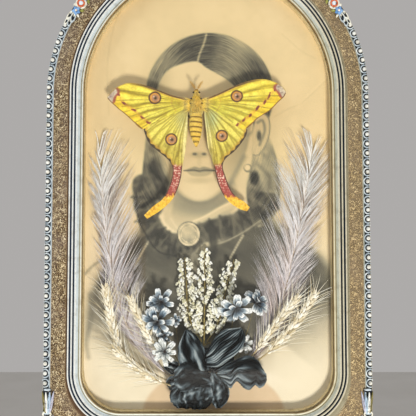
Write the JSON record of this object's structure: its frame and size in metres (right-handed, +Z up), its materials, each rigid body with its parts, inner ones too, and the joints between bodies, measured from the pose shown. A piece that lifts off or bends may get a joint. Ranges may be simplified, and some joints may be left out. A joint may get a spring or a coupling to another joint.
{
  "type": "framed moth specimen",
  "caption": "Large tailed moth mounted over a tinted portrait with dried grasses and flowers, under domed glass in an arched moulded frame that hangs on a wall.",
  "frame": {"origin": "middle of the sawtooth hanger's bar, on its rear face, which lies on the wall plane y = 0", "axes": "+Z up the frame, -Y out of the wall towards the viewer, +X to the right seen from the front"},
  "size_m": [0.313, 0.0523, 0.499],
  "materials": {
    "aged_gilt": "aged, painted plaster over wood",
    "painted_casting": "painted plaster",
    "stained_wood": "stained",
    "tinted_portrait": "printed card",
    "steel": "zinc plated",
    "moth_wing": "dry scales",
    "moth_fur": "furry",
    "cork": "raw cork",
    "pampas_plume": "dry plume",
    "dried_wheat": "dry straw",
    "bleached_sprig": "dry, bleached",
    "dusty_blue_petal": "matte petals",
    "pale_petal": "matte petals",
    "black_fabric": "crumpled cloth",
    "clear_glass": "clear, domed"
  },
  "bodies": {
    "root": {"moulding": "aged_gilt", "backing_board": "stained_wood", "portrait_board": "tinted_portrait", "spacer_ring": "stained_wood", "glass_dome": "clear_glass", "sawtooth_hanger": "steel", "floret_spray_left": "painted_casting", "floret_spray_right": "painted_casting", "corner_husk_left": "painted_casting", "corner_husk_right": "painted_casting", "forewing_left": "moth_wing", "forewing_right": "moth_wing", "hindwing_left": "moth_wing", "hindwing_right": "moth_wing", "moth_body": "moth_fur", "antenna_left": "moth_fur", "antenna_right": "moth_fur", "mounting_post": "cork", "pampas_plume_left": "pampas_plume", "pampas_plume_right": "pampas_plume", "wheat_ear_left_outer": "dried_wheat", "wheat_ear_left_inner": "dried_wheat", "wheat_ear_left_low": "dried_wheat", "wheat_ear_right_inner": "dried_wheat", "wheat_ear_right_outer": "dried_wheat", "white_sprig_stem": "bleached_sprig", "white_sprig_branch_left": "bleached_sprig", "white_sprig_branch_right": "bleached_sprig", "blue_flower_left_top": "dusty_blue_petal", "blue_flower_left_middle": "dusty_blue_petal", "blue_flower_left_small": "dusty_blue_petal", "blue_flower_left_low": "dusty_blue_petal", "blue_flower_right_large": "dusty_blue_petal", "blue_flower_right_top": "dusty_blue_petal", "pale_flower_left_bottom": "pale_petal", "pale_flower_right_low": "pale_petal", "black_leaf_upper_left": "black_fabric", "black_leaf_upper_right": "black_fabric", "black_leaf_lobed_right": "black_fabric", "black_leaf_small_left": "black_fabric", "black_leaf_behind": "black_fabric", "black_rose_flap_right": "black_fabric", "black_rose_flap_left": "black_fabric", "black_rose": "black_fabric"}
  },
  "joints": []
}
